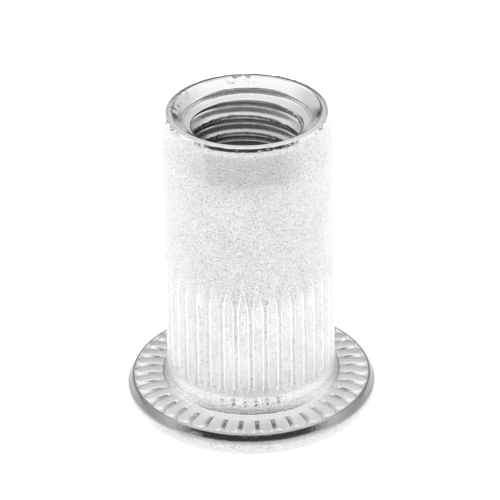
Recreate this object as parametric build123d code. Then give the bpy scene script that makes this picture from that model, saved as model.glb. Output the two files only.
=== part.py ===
from build123d import *
import math
import os

# Open-ended aluminium rivet nut, M8: one cold-formed piece.
# Millimetres. It stands on its flange: z = 0 is the flat seen once it is set,
# +Z runs up the shank to the threaded end, and the axis is the Z axis.

# shank and overall
length = 21.3            # flange face to rim
shank_d = 11.0           # plain shank, goes into an 11.1 mm hole
tip_drop = 0.19          # how far the shank is drawn in, on radius, below the rim
tip_len = 1.4            # height of the drawn-in end
tip_ease = 0.9           # height of the soft shoulder under it
rim_bevel = 0.12         # outer edge of the rim

# flange
flange_d = 16.5
flange_t = 1.9           # to the tops of the serrations
upper_round = 0.3
lower_round = 1.15

# foot, the flare where the shank meets the flange
foot_rise = 0.7
foot_flare = 0.38

# serrations under the flange
tooth_count = 40
tooth_h = 0.15
tooth_turn = -1.75       # where the first tooth stands, in degrees from +X
tooth_share = 0.74       # tooth width over the spacing
ring_w = 0.3             # flat ring between the foot and the first of the valleys
valley_run = 0.7         # radial length over which a valley comes down
tooth_sink = 0.1         # how far a tooth is rooted in the flange and the ring
nose_gap = 0.09          # tooth end to the start of the rounded edge
nose_angle = 11          # half of the nose's arc, in degrees

# pressed splines round the shank
spline_count = 36
spline_turn = 5          # where the first spline lies, in degrees from +X
spline_depth = 0.16
spline_w = 0.62          # across the open side
spline_floor = 0.25      # across the floor
spline_end = 3.2         # height of the blunt lower end
spline_full = 9.6        # height where the depth is first whole
spline_neck = 10.9       # height where the thin point begins
spline_tip = 11.7        # height of the point
neck_depth = 0.04
end_run = 0.45           # height over which the lower end comes up

# bore
thread_d = 8.0           # nominal size of the M8 x 1.25 thread
minor_d = 6.8            # wall of the threaded length, at the crests
thread_len = 8.8
lead = 0.2               # bevel into the thread from the step
relief_gap = 0.1         # plain step below the countersink, beyond the thread's roots
relief_depth = 0.95      # rim to the floor of that step
mouth_depth = 0.55       # depth of the countersink
land_w = 0.42            # flat left on the rim round the countersink
fold_wall = 1.1          # thin wall that folds when the nut is set
face_bevel = 0.3         # bore edge on the flange face

# radii and heights that follow
shank_r = shank_d / 2
rim_r = shank_r - tip_drop
flange_r = flange_d / 2
foot_r = shank_r + foot_flare
minor_r = minor_d / 2
relief_r = thread_d / 2 + relief_gap
mouth_r = rim_r - rim_bevel - land_w
fold_r = shank_r - fold_wall
valley_z = flange_t - tooth_h
ring_r = foot_r + ring_w
valley_r = ring_r + valley_run
ledge_r = flange_r - upper_round
thread_top = length - relief_depth - lead
thread_bottom = thread_top - thread_len
fold_top = thread_bottom - (fold_r - minor_r)


def turned_body():
    """Half section of the whole nut, turned once round the axis."""
    with BuildPart() as body:
        with BuildSketch(Plane.XZ):
            with BuildLine():
                # flange: face, rounded edge, valley floor, flat ring
                Line((fold_r + face_bevel, 0), (flange_r - lower_round, 0))
                RadiusArc((flange_r - lower_round, 0), (flange_r, lower_round), -lower_round)
                Line((flange_r, lower_round), (flange_r, valley_z - upper_round))
                RadiusArc((flange_r, valley_z - upper_round), (ledge_r, valley_z), -upper_round)
                Line((ledge_r, valley_z), (valley_r, valley_z))
                Line((valley_r, valley_z), (ring_r, flange_t))
                Line((ring_r, flange_t), (foot_r, flange_t))
                # foot, shank and rim
                Line((foot_r, flange_t), (shank_r, flange_t + foot_rise))
                Line((shank_r, flange_t + foot_rise), (shank_r, length - tip_len - tip_ease))
                # drawn-in end, rim, then the bore from the countersink down
                Polyline(
                    (shank_r, length - tip_len - tip_ease),
                    (rim_r, length - tip_len),
                    (rim_r, length - rim_bevel),
                    (rim_r - rim_bevel, length),
                    (mouth_r, length),
                    (relief_r, length - mouth_depth),
                    (relief_r, length - relief_depth),
                    (minor_r + lead, length - relief_depth),
                    (minor_r, thread_top),
                    (minor_r, thread_bottom),
                    (fold_r, fold_top),
                    (fold_r, face_bevel),
                    (fold_r + face_bevel, 0),
                )
            make_face()
        revolve(axis=Axis.Z)
    return body.part


def serration():
    """One tooth: a tapered block, its outer end two slanted cheeks and a round nose."""
    half_step = math.pi / tooth_count * tooth_share
    inner_r = ring_r - tooth_sink
    nose_r = ledge_r - nose_gap
    cheek_r = nose_r / (1 + half_step)
    inner_w = inner_r * half_step
    outer_w = cheek_r * half_step
    turn = math.radians(nose_angle)
    cheek_end = (cheek_r + outer_w * math.cos(turn), outer_w * math.sin(turn))
    with BuildPart() as tooth:
        with BuildSketch(Plane.XY.offset(valley_z - tooth_sink)):
            with BuildLine():
                nose = ThreePointArc((cheek_end[0], -cheek_end[1]), (nose_r, 0), cheek_end)
                Polyline(nose @ 1, (cheek_r, outer_w), (inner_r, inner_w))
                Polyline(nose @ 0, (cheek_r, -outer_w), (inner_r, -inner_w))
                Line((inner_r, inner_w), (inner_r, -inner_w))
            make_face()
        extrude(amount=tooth_h + tooth_sink)
    return tooth.part


def spline_section(z, depth):
    """Cross-section of one pressed spline at height z, cut to the given depth."""
    floor_r = shank_r - depth
    over = 0.3
    slope = (spline_w - spline_floor) / 2 / spline_depth
    open_w = spline_floor / 2 + slope * (spline_depth + over)
    top_r = floor_r + spline_depth + over
    with BuildSketch(Plane.XY.offset(z)) as section:
        Polygon(
            (floor_r, -spline_floor / 2),
            (top_r, -open_w),
            (top_r, open_w),
            (floor_r, spline_floor / 2),
            align=None,
        )
    return section.sketch


def spline_cutter():
    """A pressed spline: blunt end below, whole depth, then a long thin point."""
    stations = (
        (spline_end, -0.01),
        (spline_end + end_run, spline_depth),
        (spline_full, spline_depth),
        (spline_neck, neck_depth),
        (spline_tip, -0.01),
    )
    return loft([spline_section(z, depth) for z, depth in stations], ruled=True)


nut = turned_body()
tooth = serration()
nut += [loc * tooth for loc in PolarLocations(0, tooth_count, tooth_turn)]
cutter = spline_cutter()
nut -= [loc * cutter for loc in PolarLocations(0, spline_count, spline_turn)]

nut.label = "rivet_nut"
nut.color = Color(0.80, 0.81, 0.82)

os.makedirs("parts", exist_ok=True)
export_step(nut, "parts/rivet_nut.step")
print("volume mm3", round(nut.volume, 2), "solids", len(nut.solids()), "valid", nut.is_valid)
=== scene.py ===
# %% [markdown]
# # A rivet nut, dressed in Blender
# The solid model gives the true sizes. This lesson adds what the eye sees on the real
# fastener: pressed splines, radial serrations, a rolled thread and tumbled aluminium.

# %% Load the frame
import math

import bmesh
import bpy
from mathutils import Matrix, Vector, noise


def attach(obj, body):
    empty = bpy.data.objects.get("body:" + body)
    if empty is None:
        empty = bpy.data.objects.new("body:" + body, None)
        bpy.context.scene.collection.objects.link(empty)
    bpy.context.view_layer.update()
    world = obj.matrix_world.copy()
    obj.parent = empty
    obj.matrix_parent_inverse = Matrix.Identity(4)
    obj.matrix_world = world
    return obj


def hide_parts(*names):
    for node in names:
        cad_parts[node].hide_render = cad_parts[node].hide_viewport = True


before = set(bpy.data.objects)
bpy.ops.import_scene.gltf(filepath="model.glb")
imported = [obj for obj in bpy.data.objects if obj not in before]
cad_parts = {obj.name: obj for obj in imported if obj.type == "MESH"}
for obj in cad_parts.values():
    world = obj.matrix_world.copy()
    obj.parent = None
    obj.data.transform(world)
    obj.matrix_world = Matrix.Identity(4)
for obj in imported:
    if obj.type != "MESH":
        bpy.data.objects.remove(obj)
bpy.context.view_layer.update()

# %% [markdown]
# ## Sizes
# Every length is in millimetres, as on a maker's drawing, and turned to metres only
# when a vertex is placed. The names follow the parts of the nut from its flange up.
# Two numbers in brackets are a stretch over which something fades, low end first.

# %% Sizes of the nut
MM = 0.001
LENGTH = 21.3            # flange face to rim
FLANGE_R = 8.25
LOWER_ROUND = 1.05       # rounded edge under the flange
EDGE_R = 7.89            # where the flange's slanted edge meets the ledge
LEDGE_Z = 1.75           # plain ledge round the serrations
TOOTH_TOP = 1.9          # tops of the serrations
FOOT_R = 5.86            # foot of the shank, on the flange
FOOT_TOP = 2.7           # the foot's cone ends here
FLARE_TOP = 3.6          # and the gentle flare above it here
SHANK_R = 5.5
DRAWN_IN = (18.5, 20.5)  # the shank closes in below the rim
TIP_R = 5.31             # its radius there
STEP_TOP = 20.77         # foot of the countersink
STEP_R = 4.1             # plain step in the mouth
STEP_Z = 20.35           # floor of that step
THREAD_TOP = 20.15
THREAD_LOW = 11.35
CREST_R = 3.4
FOLD_Z = 10.35           # top of the thin wall that folds when the nut is set
FOLD_R = 4.4

# %% [markdown]
# ## Helpers
# Three small helpers serve the whole lesson. One turns an sRGB hex colour to linear
# light, one adds a shader node with its settings and links, and one is the soft step
# that the forming functions use to fade a press mark in and out.

# %% Helpers
def linear(hex_colour):
    """An sRGB hex colour as linear RGBA."""
    channels = [int(hex_colour[i:i + 2], 16) / 255 for i in (1, 3, 5)]
    return [c / 12.92 if c <= 0.04045 else ((c + 0.055) / 1.055) ** 2.4 for c in channels] + [1.0]


def node(tree, kind, links=None, **settings):
    """Adds one shader node, sets its sockets and properties, and links its inputs."""
    made = tree.nodes.new(kind)
    for name, value in settings.items():
        if name in made.inputs:
            made.inputs[name].default_value = value
        else:
            setattr(made, name, value)
    for name, source in (links or {}).items():
        tree.links.new(source, made.inputs[name])
    return made


def step(low, high, value):
    """0 below low, 1 above high, and a smooth ramp between."""
    t = min(1.0, max(0.0, (value - low) / (high - low)))
    return t * t * (3 - 2 * t)


# %% [markdown]
# ## Camera
# The camera looks down on the nut from the front with a long lens, so the open end and
# the flange both show. It leans by one degree, and the nut stays upright.

# %% Camera
CAMERA_ELEVATION = math.radians(29.86)
CAMERA_ROLL = math.radians(-1.0)
CAMERA_DISTANCE = 0.215
CAMERA_LENS = 236.98
CAMERA_SENSOR = 36
aim = Vector((0.05, 0, 10.98)) * MM

camera_data = bpy.data.cameras.new("camera")
camera_data.sensor_width = CAMERA_SENSOR
camera_data.lens = CAMERA_LENS
camera = bpy.data.objects.new("camera", camera_data)
back = Vector((0, -math.cos(CAMERA_ELEVATION), math.sin(CAMERA_ELEVATION)))
camera.location = aim + back * CAMERA_DISTANCE
look = back.to_track_quat("Z", "Y").to_matrix().to_4x4()
lean = Matrix.Rotation(CAMERA_ROLL, 4, "Z")
camera.matrix_world = Matrix.Translation(camera.location) @ look @ lean
bpy.context.scene.collection.objects.link(camera)
bpy.context.scene.camera = camera
print("camera at", [round(c, 4) for c in camera.location])

# %% [markdown]
# ## The half section
# A rivet nut starts as a plain round blank and is then pressed. It could be built up from
# cylinders, but a spun section puts every ring where the real edge is. So half of the
# section is drawn as a chain of edges, its corner is rounded, and it is spun round the
# axis. Each stop says how finely the run before it is divided, because the presses that
# come later need more rings where they bite.

# %% Stops of the half section
STOPS = (
    # radius, height, divisions of the run that ends here
    # flange face, straight edge and the slanted band above it
    (4.7, 0.0, 0),
    (FLANGE_R, 0.0, 1),
    (FLANGE_R, 1.06, 1),
    (8.235, 1.13, 1),
    (8.15, 1.29, 1),
    (8.04, 1.5, 2),
    (7.92, 1.71, 2),
    (EDGE_R, LEDGE_Z, 1),
    # serrated face, with close rings where the pockets start
    (7.3, LEDGE_Z, 10),
    (6.5, LEDGE_Z, 6),
    (6.18, LEDGE_Z, 4),
    (6.1, LEDGE_Z, 1),
    # foot, splined shank and plain shank
    (FOOT_R, TOOTH_TOP, 2),
    (SHANK_R, FOOT_TOP, 7),
    (SHANK_R, 3.9, 11),
    (SHANK_R, 9.6, 4),
    (SHANK_R, 11.9, 13),
    (SHANK_R, DRAWN_IN[0], 6),
    # drawn-in end, rim and the flat land on it
    (TIP_R, DRAWN_IN[1], 9),
    (TIP_R, 20.99, 2),
    (5.29, 21.03, 1),
    (5.18, 21.245, 5),
    (5.16, 21.25, 1),
    (4.88, LENGTH, 3),
    (4.84, LENGTH, 1),
    (4.8, 21.23, 2),
    # countersink, plain step and lead into the thread
    (STEP_R, STEP_TOP, 9),
    (4.08, STEP_Z, 3),
    (CREST_R + 0.05, 20.22, 5),
    (CREST_R, THREAD_TOP, 1),
    # thread, with close rings where it shows, and the folding wall
    (CREST_R, 16.4, 54),
    (CREST_R, THREAD_LOW, 28),
    (FOLD_R, FOLD_Z, 4),
    (FOLD_R, 0.3, 3),
    (4.7, 0.0, 0),
)

# %% Draw the half section
ROUND_STEPS = 8
bm = bmesh.new()
stops = [bm.verts.new((r * MM, 0, z * MM)) for r, z, divisions in STOPS[:-1]]
runs = []
for i, (r, z, divisions) in enumerate(STOPS[1:], start=1):
    edge = bm.edges.new((stops[i - 1], stops[i % len(stops)]))
    runs.append((edge, divisions))

for edge, divisions in runs:
    if divisions > 1:
        bmesh.ops.subdivide_edges(bm, edges=[edge], cuts=divisions - 1)
corner = min(bm.verts, key=lambda v: (v.co - Vector((FLANGE_R, 0, 0)) * MM).length)
bmesh.ops.bevel(
    bm, geom=[corner] + list(corner.link_edges), offset=LOWER_ROUND * MM,
    offset_type="OFFSET", segments=ROUND_STEPS, profile=0.5, affect="VERTICES",
    material=-1, clamp_overlap=True,
)
print("half section:", len(bm.verts), "points")

# %% Spin it round the axis
COLUMNS = 360               # one to a degree
SAME_PLACE = 1e-7           # metres: points closer than this are one
bmesh.ops.spin(
    bm, geom=list(bm.verts) + list(bm.edges), axis=(0, 0, 1), cent=(0, 0, 0),
    angle=2 * math.pi, steps=COLUMNS, use_merge=True, use_duplicate=False,
)
bmesh.ops.remove_doubles(bm, verts=list(bm.verts), dist=SAME_PLACE)
bmesh.ops.recalc_face_normals(bm, faces=list(bm.faces))
print("spun:", len(bm.verts), "points, volume", round(bm.calc_volume() * 1e9, 1), "mm3")

# %% [markdown]
# ## Twice as many columns where the presses bite
# One column to a degree is enough for the plain end and the bore. The serrations and the
# splines are sharper, so the rings between the flange's edge and the splines' points are
# cut once more.

# %% Finer columns for flange top, foot and splines
FINE = (1.5, 11.95)         # heights between which the columns are halved
OUTSIDE_R = 5.2             # nothing inside the bore is wider than this


def outside_rings(low, high):
    """Edges that run round the outside of the nut between two heights."""
    chosen = []
    for edge in bm.edges:
        a, b = (v.co for v in edge.verts)
        level = abs(a.z - b.z) < SAME_PLACE and abs(a.xy.length - b.xy.length) < SAME_PLACE
        if level and low <= a.z / MM <= high and a.xy.length / MM > OUTSIDE_R:
            chosen.append(edge)
    return chosen


bmesh.ops.subdivide_edges(bm, edges=outside_rings(*FINE), cuts=1, use_grid_fill=True)
print("finer columns:", len(bm.verts), "points,", len(bm.faces), "faces")

# %% [markdown]
# ## Pressed splines
# Thirty-six splines are pressed into the thin wall so that the nut can't turn in its
# hole. Each has a blunt lower end, a rounded trough and a long thin point. They could be
# cut out with thirty-six tool shapes, but cuts leave long thin triangles. Here one
# function of azimuth and height says how deep the tool pressed each point of the even
# mesh, and how smooth it left the place.

# %% Form the splines
SPLINES = 36
SPLINE_TURN = 5.0           # azimuth of the first one
SPLINE_HALF = 0.31          # half the width of a trough
SPLINE_DEPTH = 0.16
BLUNT_END = (2.9, 3.9)      # the lower end widens here
END_SINK = (2.9, 4.2)       # and comes down to its depth here
NECK = (9.5, 10.9)          # the trough narrows to a thin point
NECK_LOSS = 0.62            # share of its width that it loses there
POINT = (10.8, 11.8)        # the point runs out
LEAST_REACH = 0.02          # the trough ends where it is narrower than this
WORKED = 0.32               # how smooth the tool left the trough
WORKED_END = (9.3, 11.2)    # towards the point it pressed less
TROUGH_SIDE = (0.85, 1.0)   # shares of the half width
LIP = 0.6                   # how smooth it left the trough's lips
LIP_RISE = (0.7, 0.9)
LIP_FALL = (1.1, 1.3)


def spline_reach(z):
    """Half width of a spline's trough at a height, in millimetres."""
    blunt = step(*BLUNT_END, z) ** 0.5
    neck = 1 - NECK_LOSS * step(*NECK, z)
    point = 1 - step(*POINT, z)
    return SPLINE_HALF * blunt * neck * point


def spline_press(azimuth, z):
    """How deep the tool pressed one place, and how smooth it left it."""
    pitch = 360 / SPLINES
    turn = (azimuth - SPLINE_TURN + pitch / 2) % pitch - pitch / 2
    across = abs(math.radians(turn)) * SHANK_R
    reach = spline_reach(z)
    if reach <= LEAST_REACH:
        return 0.0, 0.0
    share = across / reach
    deep = SPLINE_DEPTH * step(*END_SINK, z) * (reach / SPLINE_HALF) ** 1.5
    worked = WORKED * (1 - step(*WORKED_END, z)) * (1 - step(*TROUGH_SIDE, share))
    lip = step(*LIP_RISE, share) * (1 - step(*LIP_FALL, share))
    return deep * max(0.0, 1 - share ** 2.2), max(worked, LIP * lip)


# %% [markdown]
# ## Foot, lands and drawn-in end
# The metal that the splines push aside stands a little proud on the lands between them,
# most near their lower ends. Below them the shank flares out to a short cone, its foot.
# Above them it is plain and closes in a little towards the rim.

# %% Form the shank
PLAIN = -0.02               # the plain shank stays this far inside its size
LANDS = 0.06                # the lands stand proud
LANDS_END = (10.2, 12.0)
SWELL = 0.02                # and a little more low down
SWELL_END = (5.0, 8.0)
FLARE = 0.09
LANDS_FOOT = (2.3, 2.7)     # nothing stands proud on the foot
LANDS_TIP = (18.5, 20.0)    # nor at the drawn-in end
FOOT_SMOOTH = 0.7           # how smooth the die left the foot
FOOT_SMOOTH_END = (2.9, 3.6)


def shank_radius(azimuth, z, r):
    """Radius of the shank after pressing, and how smooth the tools left it."""
    if z > DRAWN_IN[0]:
        r = TIP_R + (SHANK_R - TIP_R) * (1 - step(*DRAWN_IN, z))
    if z < FLARE_TOP:
        rise = (FLARE_TOP - max(z, FOOT_TOP)) / (FLARE_TOP - FOOT_TOP)
        r = SHANK_R + FLARE * rise ** 2
    if z < FOOT_TOP:
        r += (FOOT_R - r) * (FOOT_TOP - z) / (FOOT_TOP - TOOTH_TOP)
    lands = LANDS * (1 - step(*LANDS_END, z)) + SWELL * (1 - step(*SWELL_END, z))
    r += (PLAIN + lands) * (1 - step(*LANDS_TIP, z)) * step(*LANDS_FOOT, z)
    pressed, smooth = spline_press(azimuth, z)
    return r - pressed, max(smooth, FOOT_SMOOTH * (1 - step(*FOOT_SMOOTH_END, z)))


# %% [markdown]
# ## Radial serrations
# Forty serrations bite the sheet. The punch presses a pocket between each two, deepest
# near the shank, and leaves teeth with round outer ends on a plain ledge. The teeth
# droop a little towards those ends. Forty blocks could be set on the flange, but real
# teeth grow out of it without a seam, so here too a function moves the face itself.

# %% Form the serrations
TEETH = 40
TOOTH_TURN = -1.75          # azimuth of the first one
TOOTH_HALF = 3.33           # half its width, in degrees
TOOTH_SIDE = (-0.3, 0.6)    # its side slopes over this turn, from the half width
THINNEST = 0.25             # a tooth ends where its half width is less than this
TOOTH_CROWN = 0.012         # how much its sides lie below its middle
TOOTH_DROOP = 0.13
SHOULDER_R = 7.3            # the round outer end starts here
NOSE_R = 7.74               # and ends here
LEDGE_RISE = (7.68, 7.78)
POCKET_IN = 6.26            # inner wall of a pocket
POCKET_WALL = 0.16          # radial length of that wall
POCKET_DEPTH = 0.07         # below the ledge
POCKET_DEEPER = 0.12        # and this much more near the shank
POCKET_RISE = (6.7, 7.4)


def flange_height(azimuth, r):
    """Height of the serrated face at a place, and how much the punch pressed it."""
    pitch = 360 / TEETH
    turn = abs((azimuth - TOOTH_TURN + pitch / 2) % pitch - pitch / 2)
    half = TOOTH_HALF
    if r > SHOULDER_R:
        half *= math.sqrt(max(0.0, 1 - ((r - SHOULDER_R) / (NOSE_R - SHOULDER_R)) ** 2))
    tooth = 0.0
    if half > THINNEST:
        tooth = 1 - step(half + TOOTH_SIDE[0], half + TOOTH_SIDE[1], turn)
    pocket = step(POCKET_IN, POCKET_IN + POCKET_WALL, r)
    ledge = step(*LEDGE_RISE, r)
    bottom = LEDGE_Z - (POCKET_DEPTH + POCKET_DEEPER * (1 - step(*POCKET_RISE, r))) * (1 - ledge)
    droop = TOOTH_DROOP * max(0.0, (r - POCKET_IN) / (NOSE_R - POCKET_IN)) ** 2
    top = TOOTH_TOP - droop - TOOTH_CROWN * (turn / TOOTH_HALF) ** 2
    low = top + (bottom - top) * pocket
    height = low + (top - low) * tooth if r <= NOSE_R else LEDGE_Z
    return height, (1 - tooth) * pocket * (1 - ledge)


# %% [markdown]
# ## Rolled thread
# The thread is M8 by 1.25, right-hand. A rolling tap forms it, so its flanks are soft
# waves and its crests are a little ragged. A profile could be wound along a helix and
# joined to the bore. A radius that waves with height and climbs with azimuth gives the
# same turns, and leaves no joint.

# %% Form the thread
ROOT_R = 4.0
PITCH = 1.25
CREST_Z = 19.0              # height of a crest at the far side
RAGGED = 0.05               # depth of the crests' ragged marks
RAGGED_END = (0.05, 0.125)  # how far from the crest they reach
RUN_OUT = 0.8               # the turns fade out over this height at the lower end
LEAD_Z = 20.12              # the lead into the thread opens from here


def thread_radius(azimuth, z, r):
    """Radius of the threaded bore."""
    phase = ((z - CREST_Z) / PITCH - (azimuth - 90) / 360 + 0.5) % 1.0 - 0.5
    along = abs(phase) * PITCH
    turned = CREST_R + (ROOT_R - CREST_R) * step(0.0, PITCH / 2, along)
    grain = 0.5 + noise.noise(Vector((azimuth / 5, z * 3, 0)))
    turned += RAGGED * grain * (1 - step(*RAGGED_END, along))
    fade = step(THREAD_LOW, THREAD_LOW + RUN_OUT, z)
    return max(CREST_R + (turned - CREST_R) * fade, r, CREST_R + (z - LEAD_Z))


# %% [markdown]
# ## Knocks and scratches
# Loose nuts knock against each other in the drum and the bag. A knock is a small round
# hollow and a scratch is a long flat one, so one short list of marks serves for both.

# %% Knocks on the foot, scratches on the flange's edge
MARKS = (
    # azimuth, height, half width in degrees, half height, depth
    (-110.0, 2.66, 1.5, 0.16, 0.07),
    (-102.2, 2.70, 1.8, 0.20, 0.09),
    (-94.7, 2.64, 1.6, 0.16, 0.07),
    (-87.3, 2.68, 2.0, 0.18, 0.08),
    (-79.8, 2.74, 1.2, 0.26, 0.09),
    (-72.2, 2.74, 1.6, 0.20, 0.08),
    (-117.0, 1.42, 3.6, 0.06, 0.04),
    (-119.5, 1.30, 2.4, 0.05, 0.04),
    (-115.0, 1.27, 1.6, 0.05, 0.04),
)


def knocked_in(azimuth, z):
    """How far the marks push the outside in at one place, in millimetres."""
    depth = 0.0
    for mark_azimuth, mark_z, half_turn, half_height, deepest in MARKS:
        away = ((azimuth - mark_azimuth) / half_turn) ** 2 + ((z - mark_z) / half_height) ** 2
        depth += deepest * max(0.0, 1 - away)
    return depth


# %% [markdown]
# ## What each tool leaves
# Each part of the nut meets another tool. Beside its place, the script works out two things
# for the material to read. One is how smooth the metal is: 0 is the tumbled skin and 1 is
# bright. The other is a grey from 0 to 1, mostly painted shade: in the pockets, on the land's
# far side, in the torn places, below the rim on the near side and deep in the bore, with plain
# grey on the thread and on the flange's edge. Both could be painted by hand, but numbers that
# are worked out with the shape stay true to it.

# %% Punch and die at the flange
PUNCHED = 0.7               # how smooth the punch left the serrated face
PUNCHED_POCKET = 0.2        # and how much smoother the pockets
POCKET_SHADE = 0.4           # painted shade in the inner half of each pocket
POCKET_SHADE_NEAR = 0.6      # and more painted shade on the near side
POCKET_SHADE_END = (6.8, 7.4)
EDGE_SMOOTH = 0.92          # how smooth the die left the flange's slanted edge
EDGE_SMOOTH_RISE = (1.2, 1.4)
EDGE_GREY = 0.5             # a grey on it all round
EDGE_SHADE_SIDES = 0.5       # and painted shade that greys it more away from the near side
EDGE_SHADE_RISE = (-0.9, -0.6)  # y over radius: -1 is the nearest point
EDGE_WAVE = 0.008           # the edge is a little uneven
EDGE_WAVE_GRAIN = 5.0       # waves to a millimetre


def form_flange_top(azimuth, r, z, near):
    """Place, smoothness and painted pocket shade of the serrated face."""
    z, pressed = flange_height(azimuth, r)
    smooth = PUNCHED + PUNCHED_POCKET * pressed
    grey_and_shade = pressed * (1 - step(*POCKET_SHADE_END, r)) * (POCKET_SHADE + POCKET_SHADE_NEAR * near)
    return r, z, smooth, grey_and_shade


def form_flange_edge(place, azimuth, r, z):
    """Place, smoothness, grey and painted shade of the slanted edge."""
    smooth = EDGE_SMOOTH * step(*EDGE_SMOOTH_RISE, z)
    grey_and_shade = EDGE_GREY + EDGE_SHADE_SIDES * step(*EDGE_SHADE_RISE, place.y / r)
    r += EDGE_WAVE * noise.noise(place * EDGE_WAVE_GRAIN)
    return r - knocked_in(azimuth, z), z, smooth, grey_and_shade


# %% Tumbling on the shank
TIP_SHADE = 0.33             # a patch of painted shade below the rim, on the near side
TIP_SHADE_RISE = (18.2, 18.8)


def form_shank(azimuth, r, z, near):
    """Place, smoothness and painted shade of the shank."""
    r, smooth = shank_radius(azimuth, z, r)
    return r - knocked_in(azimuth, z), z, smooth, TIP_SHADE * step(*TIP_SHADE_RISE, z) * near


# %% [markdown]
# The blank is cut off at the rim, which leaves a ragged outer edge, and two places on
# the mouth are torn. Painted shade greys the land's far side and the torn dents.

# %% Cut-off at the rim
BURR = (5.12, TIP_R + 0.01)  # the ragged outer edge
BURR_SIZE = 0.02
BURR_GRAIN = 3.0             # bumps to a millimetre
BURR_FINE_GRAIN = 7.0
LAND_SMOOTH = 0.5
LAND_SHADE = 0.85             # painted shade on the land, at the far side
LAND_SHADE_RISE = (4.82, 4.9)
LAND_SHADE_FAR = (0.1, 0.6)   # y over radius: 1 is the farthest point
MOUTH_R = 5.05               # the mouth and the torn places lie inside this
MOUTH_SMOOTH = 0.95
TORN_FROM = (80, 86)         # azimuths of the torn place at the far side
TORN_TO = (102, 108)
TORN_LEFT = 0.35             # a weaker one on the left
TORN_LEFT_FROM = (130, 150)
TORN_DEPTH = 0.3
# painted shade where the torn places dent in
TORN_SHADE = 0.8
TORN_SHADE_RISE = (0.0, 0.3)
TORN_GRAIN = 3.3


def form_rim(place, azimuth, r, z):
    """Place, smoothness and painted shade of the land, its burr and the mouth."""
    smooth = LAND_SMOOTH
    grey_and_shade = LAND_SHADE * step(*LAND_SHADE_RISE, r) * step(*LAND_SHADE_FAR, place.y / r)
    if BURR[0] < r < BURR[1]:
        rag = noise.noise(place * BURR_GRAIN) + 0.6 * noise.noise(place * BURR_FINE_GRAIN)
        r += BURR_SIZE * rag
        z = min(LENGTH, z + BURR_SIZE * rag)
        smooth = 1.0
    elif r < MOUTH_R:
        torn = step(*TORN_FROM, azimuth) * (1 - step(*TORN_TO, azimuth))
        torn += TORN_LEFT * step(*TORN_LEFT_FROM, azimuth)
        dent = noise.noise(place * TORN_GRAIN)
        z -= TORN_DEPTH * torn * max(0.0, dent)
        grey_and_shade = max(grey_and_shade, TORN_SHADE * torn * step(*TORN_SHADE_RISE, dent))
        smooth = MOUTH_SMOOTH
    return r, z, smooth, grey_and_shade


# %% Tap in the bore
TAPPED = 0.95               # how smooth the tap left the thread
THREAD_GREY = 0.3           # greys the first turns
THREAD_SHADE_DEEP = 0.45     # and painted shade greys them more further in
THREAD_SHADE_END = (17.0, 20.0)


def form_thread(azimuth, r, z):
    """Place, smoothness, grey and painted shade of the thread."""
    grey_and_shade = THREAD_GREY + THREAD_SHADE_DEEP * (1 - step(*THREAD_SHADE_END, z))
    return thread_radius(azimuth, z, r), z, TAPPED, grey_and_shade


# %% [markdown]
# ## Press the blank
# Each point knows its radius, height and azimuth, and that says which tool meets it.
# Smoothness and the grey, which is mostly painted shade, are kept in two attributes for the
# material. Undercuts aren't needed, so moving points in and out and up and down is enough.

# %% Zones of the tools
# radii and heights inside which each tool meets the blank
FACE_R = (FOOT_R - 0.02, EDGE_R - 0.06)
FACE_Z = (1.7, 1.95)
SLANT_Z = (1.15, 1.9)
SHANK_Z = (1.95, 20.6)
RIM_Z = 21.0
THREAD_R = 3.5
THREAD_Z = (THREAD_LOW - 0.01, 20.23)
BORE_R = 5.1
BORED = 0.85                # how smooth the drill left the rest of the bore
NEAR_FROM = (-135, -110)    # azimuths of the near side, which gets painted shade
NEAR_TO = (-70, -45)


def within(span, value):
    """Whether a value lies inside a span."""
    return span[0] < value < span[1]


# %% Move the points
skin_layer = bm.verts.layers.float.new("skin")
grey_and_shade_layer = bm.verts.layers.float.new("grey_and_shade")
for v in bm.verts:
    place = v.co / MM
    r = v.co.xy.length / MM
    z = v.co.z / MM
    turn = math.atan2(v.co.y, v.co.x)
    azimuth = math.degrees(turn)
    near = step(*NEAR_FROM, azimuth) * (1 - step(*NEAR_TO, azimuth))
    smooth = 0.0
    grey_and_shade = 0.0
    if within(FACE_R, r) and within(FACE_Z, z):
        r, z, smooth, grey_and_shade = form_flange_top(azimuth, r, z, near)
    elif r > FACE_R[1] and within(SLANT_Z, z):
        r, z, smooth, grey_and_shade = form_flange_edge(place, azimuth, r, z)
    elif r > OUTSIDE_R and within(SHANK_Z, z):
        r, z, smooth, grey_and_shade = form_shank(azimuth, r, z, near)
    elif z > RIM_Z:
        r, z, smooth, grey_and_shade = form_rim(place, azimuth, r, z)
    elif r < THREAD_R and within(THREAD_Z, z):
        r, z, smooth, grey_and_shade = form_thread(azimuth, r, z)
    elif r < BORE_R:
        smooth = BORED
    v.co = Vector((r * math.cos(turn), r * math.sin(turn), z)) * MM
    v[skin_layer] = 1 - smooth
    v[grey_and_shade_layer] = grey_and_shade
print("pressed:", len(bm.verts), "points, volume", round(bm.calc_volume() * 1e9, 1), "mm3")

# %% Make the piece
for face in bm.faces:
    face.smooth = True
mesh = bpy.data.meshes.new("rivet_nut_formed")
bm.to_mesh(mesh)
print("formed:", sum(len(face.verts) - 2 for face in bm.faces), "triangles")
bm.free()
body = bpy.data.objects.new("rivet_nut_formed", mesh)
bpy.context.scene.collection.objects.link(body)
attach(body, "root")
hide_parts("rivet_nut")

# %% [markdown]
# ## Tumbled aluminium
# The nut is bare aluminium alloy, cold formed and then tumbled in a drum. Tumbling
# leaves a bright, even, slightly rough skin with fine pits about a tenth of a
# millimetre across, deeper in some patches than in others. Pressed and cut places stay
# smoother and shine, because the tumbling stones don't reach into them.

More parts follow.
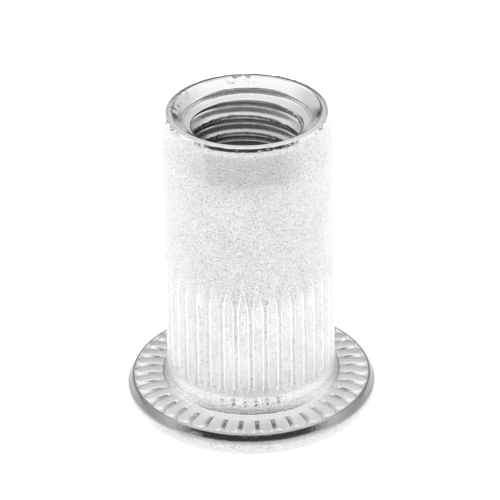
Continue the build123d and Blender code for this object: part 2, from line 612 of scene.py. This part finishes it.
# %% Pits of the tumbled skin
PIT = 0.09 * MM
PATCH = 2.4 * MM
PIT_DEPTH = 0.12 * MM       # deeper than real pits, so that they show
metal = bpy.data.materials.new("tumbled_aluminium")
metal.use_nodes = True
tree = metal.node_tree
shader = tree.nodes["Principled BSDF"]
shader.inputs["Metallic"].default_value = 1.0
on_nut = node(tree, "ShaderNodeTexCoord").outputs["Object"]
skin_here = node(tree, "ShaderNodeAttribute", attribute_name="skin").outputs["Fac"]
pits = node(
    tree, "ShaderNodeTexNoise", links={"Vector": on_nut}, Scale=1 / PIT, Detail=1.0, Roughness=0.5,
).outputs["Fac"]
patches = node(
    tree, "ShaderNodeTexNoise", links={"Vector": on_nut}, Scale=1 / PATCH, Detail=2.0,
).outputs["Fac"]
worn = node(
    tree, "ShaderNodeMapRange", links={"Value": patches},
    **{"From Min": 0.35, "From Max": 0.65, "To Min": 0.8, "To Max": 1.0},
)
pitting = node(
    tree, "ShaderNodeMath", links={0: skin_here, 1: worn.outputs["Result"]}, operation="MULTIPLY",
).outputs[0]
bump = node(
    tree, "ShaderNodeBump", links={"Height": pits, "Strength": pitting},
    invert=True, Distance=PIT_DEPTH,
)
tree.links.new(bump.outputs["Normal"], shader.inputs["Normal"])
print("pits", PIT / MM, "mm, patches", PATCH / MM, "mm")

# %% [markdown]
# The bare metal is nearly white. Painted shade in the deepest pits makes the fine grey
# speckle, and the second attribute greys the places worked out above, mostly with painted
# shade. The skin scatters the light, and smooth metal mirrors it.

# %% Colour and gloss
BRIGHT = "#FBFBFB"
TUMBLED = "#F9F9F9"
# painted shade in the deepest pits, for the fine grey speckle
PIT_SHADE = "#C2C2C2"
# grey for the second attribute, mostly painted shade
GREY_AND_SHADE = "#A0A0A0"
matt = node(
    tree, "ShaderNodeMapRange", links={"Value": skin_here}, **{"From Min": 0.05, "From Max": 0.12},
)
bare = node(
    tree, "ShaderNodeMix", data_type="RGBA", links={"Factor": matt.outputs["Result"]},
    A=linear(BRIGHT), B=linear(TUMBLED),
)
deep_pits = node(
    tree, "ShaderNodeMapRange", links={"Value": pits}, **{"From Min": 0.52, "From Max": 0.74},
)
pit_shade = node(
    tree, "ShaderNodeMath", links={0: deep_pits.outputs["Result"], 1: pitting}, operation="MULTIPLY",
)
speckled = node(
    tree, "ShaderNodeMix", data_type="RGBA",
    links={"Factor": pit_shade.outputs[0], "A": bare.outputs["Result"]}, B=linear(PIT_SHADE),
)
grey_and_shade_here = node(tree, "ShaderNodeAttribute", attribute_name="grey_and_shade").outputs["Fac"]
greyed_and_shaded = node(
    tree, "ShaderNodeMix", data_type="RGBA",
    links={"Factor": grey_and_shade_here, "A": speckled.outputs["Result"]}, B=linear(GREY_AND_SHADE),
)
tree.links.new(greyed_and_shaded.outputs["Result"], shader.inputs["Base Color"])
rough = node(
    tree, "ShaderNodeMapRange", links={"Value": skin_here}, **{"To Min": 0.16, "To Max": 0.42},
)
tree.links.new(rough.outputs["Result"], shader.inputs["Roughness"])
body.data.materials.append(metal)
print("material:", metal.name, len(tree.nodes), "nodes")

# %% [markdown]
# ## Floor
# The nut stands on pale paper. The camera, and metal that mirrors the paper, see a little
# extra white on it, as on a lit backdrop. The paper sheds no more light for it, so the
# nut keeps its shadow.

# %% Floor
FLOOR_HALF = 2.0
PAPER = "#F2F2F2"
PAPER_LIFT = 0.53
floor_bm = bmesh.new()
bmesh.ops.create_grid(floor_bm, x_segments=1, y_segments=1, size=FLOOR_HALF)
floor_mesh = bpy.data.meshes.new("floor")
floor_bm.to_mesh(floor_mesh)
floor_bm.free()
floor = bpy.data.objects.new("floor", floor_mesh)
bpy.context.scene.collection.objects.link(floor)

paper = bpy.data.materials.new("pale_paper")
paper.use_nodes = True
tree = paper.node_tree
tree.nodes.clear()
diffuse = node(tree, "ShaderNodeBsdfDiffuse", Color=linear(PAPER))
path = node(tree, "ShaderNodeLightPath")
direct = node(
    tree, "ShaderNodeMath", operation="MAXIMUM",
    links={0: path.outputs["Is Camera Ray"], 1: path.outputs["Is Glossy Ray"]},
)
seen = node(
    tree, "ShaderNodeMath", operation="MAXIMUM",
    links={0: direct.outputs[0], 1: path.outputs["Is Transmission Ray"]},
)
lift_level = node(tree, "ShaderNodeMath", links={0: seen.outputs[0]}, operation="MULTIPLY")
lift_level.inputs[1].default_value = PAPER_LIFT
lift = node(
    tree, "ShaderNodeEmission", links={"Strength": lift_level.outputs[0]}, Color=linear("#FFFFFF"),
)
both = node(tree, "ShaderNodeAddShader", links={0: diffuse.outputs[0], 1: lift.outputs[0]})
node(tree, "ShaderNodeOutputMaterial", links={"Surface": both.outputs[0]})
floor.data.materials.append(paper)
print("floor:", 2 * FLOOR_HALF, "m square")

# %% [markdown]
# ## Light
# A white tent lights the nut softly from all sides, so the world itself is the lamp. The
# tent is open towards the camera. That opening, and the low dark gap at the tent's back,
# are what draws dark lines on bright metal edges that face them. Each wall is a ramp of
# greys over the elevation.

# %% Walls of the tent
SIDES = ((0, "#C8C8C8"), (10, "#FFFFFF"), (60, "#FFFFFF"))
OPENING = (
    (0, "#969696"), (7, "#A0A0A0"), (12, "#9C9C9C"),
    (16, "#262626"), (34, "#262626"), (39, "#FFFFFF"),
)
BACK = ((0, "#262626"), (12, "#363636"), (18, "#D2D2D2"), (42, "#D8D8D8"), (62, "#FFFFFF"))
OPENING_TURN = (85, 48)     # degrees from the camera's side: the opening starts, is whole
BACK_TURN = (105, 130)      # the back wall starts, is whole
world = bpy.data.worlds.new("light_tent")
bpy.context.scene.world = world
world.use_nodes = True
tree = world.node_tree
tree.nodes.clear()
direction = node(tree, "ShaderNodeTexCoord").outputs["Generated"]
axes = node(tree, "ShaderNodeSeparateXYZ", links={0: direction})  # its Z is the elevation's sine
ramps = []
for wall in (SIDES, OPENING, BACK):
    ramp = node(tree, "ShaderNodeValToRGB", links={"Fac": axes.outputs["Z"]})
    while len(ramp.color_ramp.elements) < len(wall):
        ramp.color_ramp.elements.new(0.5)
    for element, (elevation, colour) in zip(ramp.color_ramp.elements, wall):
        element.position = math.sin(math.radians(elevation))
        element.color = linear(colour)
    ramps.append(ramp)
print("walls:", len(ramps))

# %% Join the walls
level_way = node(tree, "ShaderNodeVectorMath", links={0: direction}, operation="MULTIPLY")
level_way.inputs[1].default_value = (1, 1, 0)
level_way = node(tree, "ShaderNodeVectorMath", links={0: level_way.outputs[0]}, operation="NORMALIZE")
facing = node(tree, "ShaderNodeVectorMath", links={0: level_way.outputs[0]}, operation="DOT_PRODUCT")
facing.inputs[1].default_value = (0, -1, 0)
shares = []
for turn_from, turn_to in (OPENING_TURN, BACK_TURN):
    share = node(
        tree, "ShaderNodeMapRange", links={"Value": facing.outputs["Value"]},
        interpolation_type="SMOOTHSTEP",
    )
    share.inputs["From Min"].default_value = math.cos(math.radians(turn_from))
    share.inputs["From Max"].default_value = math.cos(math.radians(turn_to))
    shares.append(share)

tent = ramps[0].outputs["Color"]
for share, ramp in zip(shares, ramps[1:]):
    mix = node(
        tree, "ShaderNodeMix", data_type="RGBA",
        links={"Factor": share.outputs["Result"], "A": tent, "B": ramp.outputs["Color"]},
    )
    tent = mix.outputs["Result"]
background = node(tree, "ShaderNodeBackground", links={"Color": tent}, Strength=1.0)
node(tree, "ShaderNodeOutputWorld", links={"Surface": background.outputs[0]})
print("world:", world.name, len(tree.nodes), "nodes")

# %% [markdown]
# ## Finish
# The dressed nut has to keep the solid's size. This block sets the standard view transform.

# %% Finish
bpy.context.scene.view_settings.view_transform = "Standard"
